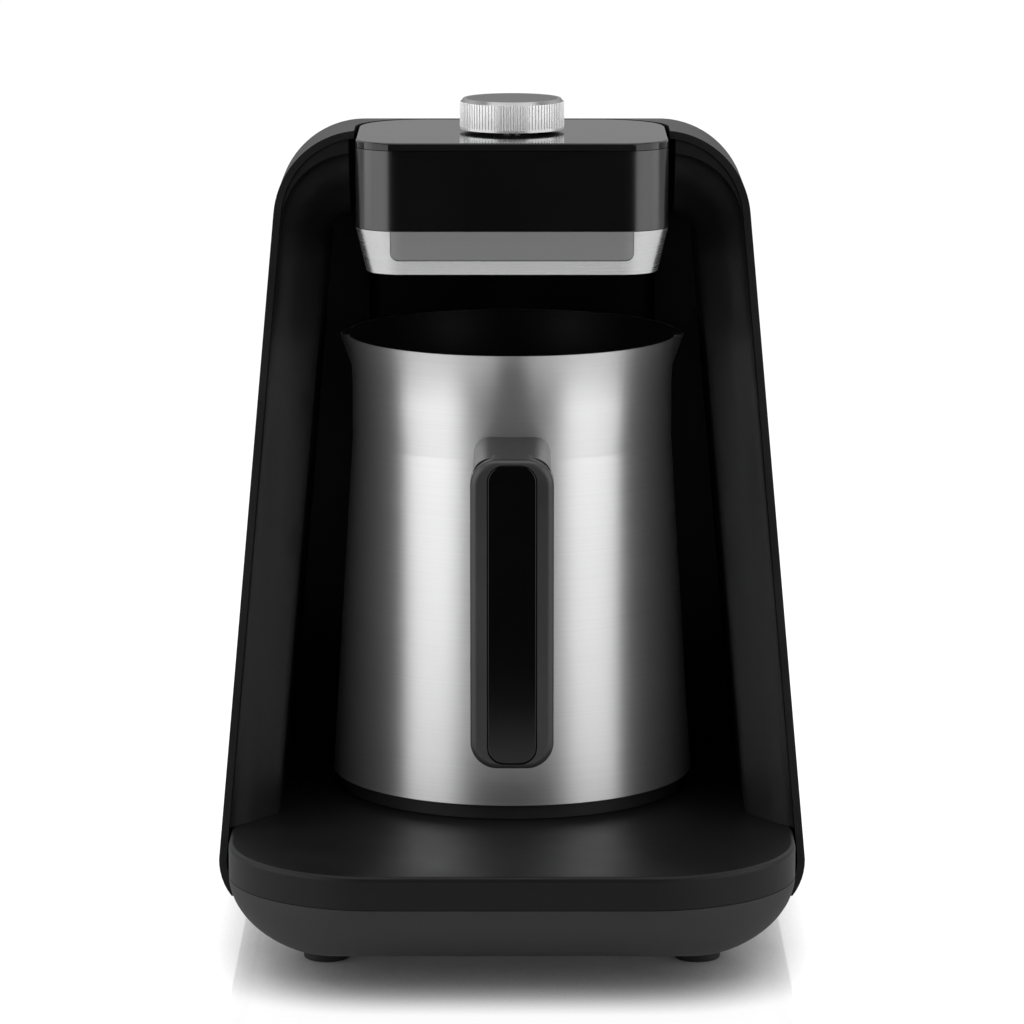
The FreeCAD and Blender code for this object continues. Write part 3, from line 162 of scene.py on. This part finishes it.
def moulded(name, colour, rough, grain=1500.0, depth=0.00004, level=0.5):
    """Moulded plastic with a fine spark-eroded grain, faint mottling and uneven sheen."""
    material, tree, shader = new_material(name)
    flat = place(tree, even_scale)
    broad = noise(tree, flat, scale=34.0, detail=4.0)
    fine = noise(tree, flat, scale=grain, detail=2.0)
    mottle = 0.12
    tone = two_tone(tree, broad, shade(colour, 1.0 - mottle), shade(colour, 1.0 + mottle))
    tree.links.new(tone, shader.inputs["Base Color"])
    tree.links.new(spread(tree, broad, rough - 0.03, rough + 0.04), shader.inputs["Roughness"])
    ripple = bump(tree, broad, depth=0.00006, strength=0.25)
    grained = bump(tree, fine, depth, strength=0.55, below=ripple)
    tree.links.new(grained, shader.inputs["Normal"])
    shader.inputs["Specular IOR Level"].default_value = level
    return material


def polished(name, colour, rough, level=0.5):
    """Gloss plastic with faint orange peel and hairline wipe marks."""
    material, tree, shader = new_material(name)
    flat = place(tree, even_scale)
    peel = noise(tree, flat, scale=220.0, detail=2.0)
    wipes = noise(tree, place(tree, (60.0, 900.0, 900.0)), scale=1.0, detail=2.0)
    smear = noise(tree, flat, scale=22.0, detail=4.0)
    tone = two_tone(tree, smear, shade(colour, 0.8), shade(colour, 1.25))
    tree.links.new(tone, shader.inputs["Base Color"])
    tree.links.new(spread(tree, smear, rough, rough + 0.035), shader.inputs["Roughness"])
    scratched = bump(tree, wipes, depth=0.000002, strength=0.25)
    peeled = bump(tree, peel, depth=0.000006, strength=0.3, below=scratched)
    tree.links.new(peeled, shader.inputs["Normal"])
    shader.inputs["Specular IOR Level"].default_value = level
    return material


def brushed(name, colour, rough, stretch, anisotropy=0.0, streak=0.10, depth=0.000006,
            metallic=1.0):
    """Metal with fine brush lines; stretch is small along the lines and large across them."""
    material, tree, shader = new_material(name)
    lines = noise(tree, place(tree, stretch), scale=1.0, detail=3.0, roughness=0.6)
    coarse = noise(tree, place(tree, shade(stretch, 0.22)), scale=1.0, detail=2.0)
    cloud = noise(tree, place(tree, even_scale), scale=26.0, detail=3.0)
    coarse_share = 0.4
    coarse_part = calculate(tree, "MULTIPLY", coarse, coarse_share)
    blend = calculate(tree, "MULTIPLY_ADD", lines, 1.0 - coarse_share, coarse_part)
    tone = two_tone(tree, blend, shade(colour, 1.0 - streak), shade(colour, 1.0 + streak))
    tree.links.new(tone, shader.inputs["Base Color"])
    sheen = spread(tree, lines, rough - 0.04, rough + 0.05)
    cloudiness = 0.05
    uneven = calculate(tree, "MULTIPLY_ADD", cloud, cloudiness, sheen)
    tree.links.new(uneven, shader.inputs["Roughness"])
    tree.links.new(bump(tree, blend, depth, strength=0.5), shader.inputs["Normal"])
    shader.inputs["Metallic"].default_value = metallic
    if anisotropy:
        quarter_turn = 0.25
        shader.inputs["Anisotropic"].default_value = anisotropy
        shader.inputs["Anisotropic Rotation"].default_value = quarter_turn
        direction = tree.nodes.new("ShaderNodeTangent")
        direction.direction_type = "RADIAL"
        direction.axis = "Z"
        tree.links.new(direction.outputs["Tangent"], shader.inputs["Tangent"])
    return material


def spun(name, colour, rough, axis_y):
    """Metal turned on a lathe: fine rings round an upright axis."""
    material, tree, shader = new_material(name)
    radius = calculate_vector(tree, "LENGTH", from_axis(tree, axis_y), result="Value")
    rings = tree.nodes.new("ShaderNodeTexNoise")
    rings.noise_dimensions = "1D"
    rings.inputs["Scale"].default_value = 5200.0
    rings.inputs["Detail"].default_value = 2.0
    tree.links.new(radius, rings.inputs["W"])
    ring = rings.outputs["Fac"]
    tone = two_tone(tree, ring, shade(colour, 0.78), shade(colour, 1.15))
    tree.links.new(tone, shader.inputs["Base Color"])
    tree.links.new(spread(tree, ring, rough - 0.05, rough + 0.06), shader.inputs["Roughness"])
    tree.links.new(bump(tree, ring, depth=0.000012, strength=0.5), shader.inputs["Normal"])
    shader.inputs["Metallic"].default_value = 1.0
    return material


def jug_inside_shade_mask(tree):
    """Mask of the painted shade inside the jug: one where the surface faces the jug's axis or is
    the bottom inside, and zero elsewhere.
    """
    normal = coordinates(tree, "Normal")
    facing = calculate_vector(tree, "DOT_PRODUCT", from_axis(tree, jug_axis_y), normal,
                              result="Value")
    inward = calculate(tree, "LESS_THAN", facing, inward_limit)
    low = calculate(tree, "LESS_THAN", split(tree, coordinates(tree))["Z"], jug_bottom_limit_z)
    upward = calculate(tree, "GREATER_THAN", split(tree, normal)["Z"], upward_limit)
    bottom = calculate(tree, "MULTIPLY", low, upward)
    return calculate(tree, "MAXIMUM", inward, bottom)


def paint_jug_inside_shade(material):
    """Paints shade inside the jug: mixes a dark painted-shade surface into the material of its
    wall, where the steel would show dark reflections.
    """
    tree = material.node_tree
    steel = tree.nodes["Principled BSDF"]
    painted_inside_shade = tree.nodes.new("ShaderNodeBsdfPrincipled")
    grain = noise(tree, place(tree, even_scale), scale=900.0, detail=3.0)
    # Painted shade: a near-black colour stands in for the dark that the steel inside the jug
    # reflects.
    tone = two_tone(tree, grain, (0.006, 0.006, 0.0062), (0.011, 0.011, 0.0112))
    tree.links.new(tone, painted_inside_shade.inputs["Base Color"])
    tree.links.new(spread(tree, grain, 0.42, 0.52), painted_inside_shade.inputs["Roughness"])
    tree.links.new(bump(tree, grain, depth=0.00002, strength=0.4), painted_inside_shade.inputs["Normal"])
    painted_inside_shade.inputs["Specular IOR Level"].default_value = 0.3
    wall = mix_shaders(tree, jug_inside_shade_mask(tree), steel.outputs["BSDF"], painted_inside_shade.outputs["BSDF"])
    tree.links.new(wall, tree.nodes["Material Output"].inputs["Surface"])
    return material


def clear(name):
    """Clear moulded plastic with a faint haze."""
    material, tree, shader = new_material(name)
    haze = noise(tree, place(tree, even_scale), scale=300.0, detail=3.0)
    tone = two_tone(tree, haze, (0.86, 0.88, 0.9), (0.94, 0.95, 0.96))
    tree.links.new(tone, shader.inputs["Base Color"])
    tree.links.new(spread(tree, haze, 0.03, 0.08), shader.inputs["Roughness"])
    shader.inputs["Transmission Weight"].default_value = 1.0
    shader.inputs["IOR"].default_value = 1.49
    return material


def jug_wall():
    steel = brushed("jug_brushed", (0.74, 0.74, 0.745), rough=0.35, stretch=(16.0, 16.0, 6400.0),
                    anisotropy=0.45, streak=0.05, metallic=0.9)
    # The wall's steel, with painted shade inside the jug
    return paint_jug_inside_shade(steel)


# One finish for each material slot of the frame

finishes = {
    "matte_black": moulded("shell_grain", (0.0066, 0.0066, 0.0068), rough=0.43, level=0.46),
    "dark_casing": moulded("casing_grain", (0.021, 0.021, 0.0215), rough=0.55, grain=1200.0,
                           level=0.4),
    "gloss_black": polished("head_gloss", (0.0022, 0.0022, 0.0024), rough=0.20, level=1.0),
    "smoked_plate": polished("plate_gloss", (0.008, 0.008, 0.0085), rough=0.06),
    "chrome_trim": brushed("trim_satin", (0.80, 0.80, 0.805), rough=0.22,
                           stretch=(20.0, 20.0, 7000.0), streak=0.03, depth=0.000001),
    "trim_panel_grey": brushed("panel_satin", (0.40, 0.40, 0.404), rough=0.42,
                               stretch=(20.0, 20.0, 6000.0), streak=0.04, depth=0.000001),
    "rubber_black": moulded("rubber", (0.016, 0.016, 0.016), rough=0.68, grain=900.0,
                            depth=0.00006, level=0.3),
    "knob_chrome": brushed("knob_bright", (0.95, 0.95, 0.955), rough=0.24,
                           stretch=(900.0, 900.0, 30.0), streak=0.02, depth=0.000001,
                           metallic=0.5),
    "knob_dark": spun("knob_bevel", (0.42, 0.42, 0.425), rough=0.25, axis_y=knob_axis_y),
    "knob_spun": spun("knob_face", (0.13, 0.13, 0.133), rough=0.32, axis_y=knob_axis_y),
    "plastic_grey": moulded("grey_moulding", (0.16, 0.16, 0.165), rough=0.5),
    "shaft_steel": brushed("shaft_turned", (0.52, 0.52, 0.53), rough=0.25,
                           stretch=(400.0, 400.0, 4000.0)),
    "screw_steel": brushed("screw_plated", (0.48, 0.47, 0.45), rough=0.32,
                           stretch=(2200.0, 2200.0, 900.0)),
    "contact_brass": brushed("brass_drawn", (0.62, 0.44, 0.17), rough=0.28,
                             stretch=(900.0, 90.0, 900.0)),
    "board_green": moulded("board_mask", (0.018, 0.085, 0.035), rough=0.35, grain=900.0),
    "component_black": moulded("component_epoxy", (0.018, 0.018, 0.019), rough=0.55,
                               grain=2400.0),
    "lens_clear": clear("lens"),
    "core_steel": brushed("core_stack", (0.24, 0.24, 0.25), rough=0.45,
                          stretch=(60.0, 2600.0, 60.0)),
    "copper": brushed("copper_wound", (0.60, 0.24, 0.10), rough=0.35,
                      stretch=(1900.0, 1900.0, 1900.0)),
    "aluminium": brushed("aluminium_cut", (0.62, 0.62, 0.63), rough=0.34,
                         stretch=(80.0, 1600.0, 80.0)),
    "terminal_green": moulded("terminal_moulding", (0.02, 0.16, 0.05), rough=0.45),
    "connector_plastic": moulded("connector_moulding", (0.05, 0.05, 0.052), rough=0.5),
    "jug_steel": jug_wall(),
    "element_steel": brushed("element_tube", (0.34, 0.33, 0.32), rough=0.40,
                             stretch=(300.0, 300.0, 300.0)),
    "jug_base_black": moulded("jug_base_grain", (0.012, 0.012, 0.012), rough=0.5, level=0.35),
    "handle_satin": moulded("handle_grain", (0.034, 0.034, 0.035), rough=0.36, grain=2200.0,
                            depth=0.00002),
}

# Pieces that share a slot with others but have a sheen of their own
own_finish = {
    "handle_inset": polished("inset_gloss", (0.0022, 0.0022, 0.0024), rough=0.12),
    "platform": moulded("platform_grain", (0.0065, 0.0065, 0.0067), rough=0.44, level=0.22),
}

for subpart in frame["record"]["subparts"]:
    node = frame["nodes"][subpart["node"]]
    finish = own_finish.get(node.name, finishes[subpart["material_slot"]])
    for material_place in node.material_slots:
        material_place.material = finish


# Floor, with a soft contact shadow, partly cast by the lamps and partly painted, and a faint
# mirror image of the object

def glow_with_painted_shadow(tree):
    """Light from the floor itself, which fades close under the object into a painted contact
    shadow.
    """
    contact = tree.nodes.new("ShaderNodeAmbientOcclusion")
    contact.inputs["Distance"].default_value = 0.024
    contact.samples = 8
    glow = tree.nodes.new("ShaderNodeEmission")
    # Painted shadow: the glow drops where ambient occlusion finds the object close above the
    # floor.
    strength = rescale(tree, contact.outputs["AO"], from_min=0.25, from_max=0.95,
                       to_min=0.02, to_max=0.74)
    tree.links.new(strength, glow.inputs["Strength"])
    return glow.outputs["Emission"]


def diffuse(tree, grey):
    node = tree.nodes.new("ShaderNodeBsdfDiffuse")
    node.inputs["Color"].default_value = (grey, grey, grey, 1.0)
    return node.outputs["BSDF"]


def floor_material():
    """White with a mirror image to the camera, and plain pale paint to every other ray."""
    material = bpy.data.materials.new("floor_pale")
    material.use_nodes = True
    tree = material.node_tree
    tree.nodes.clear()
    gloss = tree.nodes.new("ShaderNodeBsdfGlossy")
    gloss.inputs["Roughness"].default_value = 0.05
    gloss.inputs["Color"].default_value = (0.46, 0.46, 0.46, 1.0)
    lit = add_shaders(tree, diffuse(tree, grey=0.30), glow_with_painted_shadow(tree))
    seen = add_shaders(tree, lit, gloss.outputs["BSDF"])
    path = tree.nodes.new("ShaderNodeLightPath")
    paint = diffuse(tree, grey=0.8)
    surface = mix_shaders(tree, path.outputs["Is Camera Ray"], paint, seen)
    out = tree.nodes.new("ShaderNodeOutputMaterial")
    tree.links.new(surface, out.inputs["Surface"])
    return material


def floor_piece():
    reach = 4.0
    near_edge_y = -0.42
    corners = [(-reach, near_edge_y, 0.0), (reach, near_edge_y, 0.0),
               (reach, reach, 0.0), (-reach, reach, 0.0)]
    mesh = bpy.data.meshes.new("floor")
    mesh.from_pydata(corners, [], [(0, 1, 2, 3)])
    piece = bpy.data.objects.new("floor", mesh)
    bpy.context.scene.collection.objects.link(piece)
    mesh.materials.append(floor_material())


floor_piece()


# World

def background(tree, strength):
    node = tree.nodes.new("ShaderNodeBackground")
    node.inputs["Color"].default_value = white
    node.inputs["Strength"].default_value = strength
    return node.outputs["Background"]


def studio(tree):
    """What gloss, metal and clear pieces show: bright behind the object, dim in front of it."""
    direction = split(tree, coordinates(tree, "Generated"))
    depth_light = rescale(tree, direction["Y"], from_min=-0.25, from_max=0.55,
                          to_min=0.02, to_max=1.0)
    height_light = rescale(tree, direction["Z"], from_min=0.15, from_max=0.6,
                           to_min=0.40, to_max=1.0)
    node = tree.nodes.new("ShaderNodeBackground")
    tree.links.new(calculate(tree, "MULTIPLY", depth_light, height_light), node.inputs["Color"])
    return node.outputs["Background"]


def world_light():
    """White to the camera, the studio to mirrored and refracted rays, a fill for the rest."""
    world = bpy.data.worlds.new("studio")
    bpy.context.scene.world = world
    world.use_nodes = True
    tree = world.node_tree
    tree.nodes.clear()
    path = tree.nodes.new("ShaderNodeLightPath").outputs
    mirrored = calculate(tree, "MAXIMUM", path["Is Glossy Ray"], path["Is Transmission Ray"])
    fill = background(tree, strength=0.28)
    backdrop = background(tree, strength=1.0)
    on_object = mix_shaders(tree, mirrored, fill, studio(tree))
    surface = mix_shaders(tree, path["Is Camera Ray"], on_object, backdrop)
    out = tree.nodes.new("ShaderNodeOutputWorld")
    tree.links.new(surface, out.inputs["Surface"])


world_light()


# Softboxes, which all face one point in the object

softbox_aim = Vector((0.0, 0.0, 0.12))


def softbox(name, azimuth, elevation, distance, width, height, radiance):
    """A rectangular lamp; azimuth 0 is in front of the object, and positive is to its right."""
    lamp = bpy.data.lights.new(name, "AREA")
    lamp.shape = "RECTANGLE"
    lamp.size = width
    lamp.size_y = height
    lamp.energy = radiance * width * height * math.pi
    turn = math.radians(azimuth)
    rise = math.radians(elevation)
    level = math.cos(rise)
    offset = Vector((math.sin(turn) * level, -math.cos(turn) * level, math.sin(rise)))
    piece = bpy.data.objects.new(name, lamp)
    piece.location = softbox_aim + offset * distance
    piece.rotation_euler = (-offset).to_track_quat("-Z", "Y").to_euler()
    bpy.context.scene.collection.objects.link(piece)
    piece.visible_camera = False


softbox("softbox_left", azimuth=-71.0, elevation=12.0, distance=1.7, width=2.5, height=2.0,
        radiance=1.6)
softbox("softbox_right", azimuth=69.0, elevation=12.0, distance=1.7, width=2.3, height=2.0,
        radiance=1.5)
softbox("softbox_top", azimuth=0.0, elevation=84.0, distance=1.8, width=2.2, height=1.2,
        radiance=1.5)


# Camera, at the photograph's angle

sensor_width_mm = 36.0
photo_width_px = 1024.0
focal_length_px = 5100.0
camera_pitch = math.radians(10.3)
camera_distance = 1.690
camera_aim = Vector((0.0, jug_axis_y, 0.1319))


def photo_camera():
    data = bpy.data.cameras.new("camera")
    data.sensor_fit = "HORIZONTAL"
    data.sensor_width = sensor_width_mm
    data.lens = focal_length_px / photo_width_px * sensor_width_mm
    data.clip_start = 0.05
    data.clip_end = 50.0
    piece = bpy.data.objects.new("camera", data)
    bpy.context.scene.collection.objects.link(piece)
    look = Vector((0.0, math.cos(camera_pitch), -math.sin(camera_pitch)))
    piece.location = camera_aim - look * camera_distance
    piece.rotation_euler = (math.pi / 2.0 - camera_pitch, 0.0, 0.0)
    bpy.context.scene.camera = piece


photo_camera()

settings = bpy.context.scene.view_settings
settings.view_transform = "Standard"
